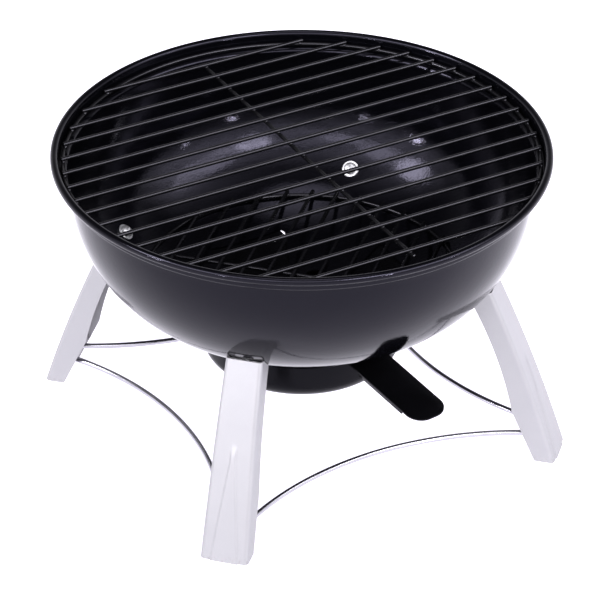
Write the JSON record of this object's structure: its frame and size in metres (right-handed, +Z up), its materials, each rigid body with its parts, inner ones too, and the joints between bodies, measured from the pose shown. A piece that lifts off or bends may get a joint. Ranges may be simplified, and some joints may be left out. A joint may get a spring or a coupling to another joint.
{
  "type": "portable charcoal grill",
  "caption": "Round tabletop charcoal grill: enamelled bowl on channel legs with wire braces, lift-off wire grates, turning air damper with a lever, and an ash pan.",
  "frame": {"origin": "point on the floor under the bowl's axis, the centre of the bottom of the bounding box", "axes": "+Z up along the bowl's axis; the cooking grate's bars run along X; the damper lever points towards -Y, turned 9 degrees towards +X"},
  "size_m": [0.36, 0.36, 0.2274],
  "materials": {
    "enamel": "glossy black porcelain enamel on sheet steel",
    "grate_coating": "semi-gloss black coating on steel wire",
    "silver_paint": "smooth silver paint with a soft shine",
    "chrome_wire": "bright plated steel wire",
    "zinc": "bright zinc plating",
    "black_paint": "semi-gloss black paint on sheet steel"
  },
  "bodies": {
    "stand_and_bowl": {"bowl": "enamel", "ash_pan": "black_paint", "leg_front": "silver_paint", "leg_screw_front": "zinc", "leg_washer_front": "zinc", "leg_nut_front": "zinc", "leg_right": "silver_paint", "leg_screw_right": "zinc", "leg_washer_right": "zinc", "leg_nut_right": "zinc", "leg_back": "silver_paint", "leg_screw_back": "zinc", "leg_washer_back": "zinc", "leg_nut_back": "zinc", "leg_left": "silver_paint", "leg_screw_left": "zinc", "leg_washer_left": "zinc", "leg_nut_left": "zinc", "brace_front_right": "chrome_wire", "brace_right_back": "chrome_wire", "brace_back_left": "chrome_wire", "brace_left_front": "chrome_wire", "pan_spacer": "zinc", "centre_bolt": "zinc", "centre_washer": "zinc", "pan_washer": "zinc", "pan_wing_nut": "zinc"},
    "cooking_grate": {"cooking_grate": "grate_coating"},
    "charcoal_grate": {"charcoal_grate": "grate_coating"},
    "damper": {"damper_plate": "black_paint", "damper_lever": "black_paint", "lever_rivet_1": "zinc", "lever_rivet_2": "zinc"}
  },
  "joints": [
    {"name": "cooking_grate_lift", "type": "slide", "parent": "stand_and_bowl", "child": "cooking_grate", "axis": [0, 0, 1], "range_m": [0, 0.12]},
    {"name": "charcoal_grate_lift", "type": "slide", "parent": "stand_and_bowl", "child": "charcoal_grate", "axis": [0, 0, 1], "range_m": [0, 0.085]},
    {"name": "damper_turn", "type": "hinge", "parent": "stand_and_bowl", "child": "damper", "pos_m": [0, 0, 0.0882], "axis": [0, 0, 1], "range_deg": [-37.5, 22.5]}
  ]
}
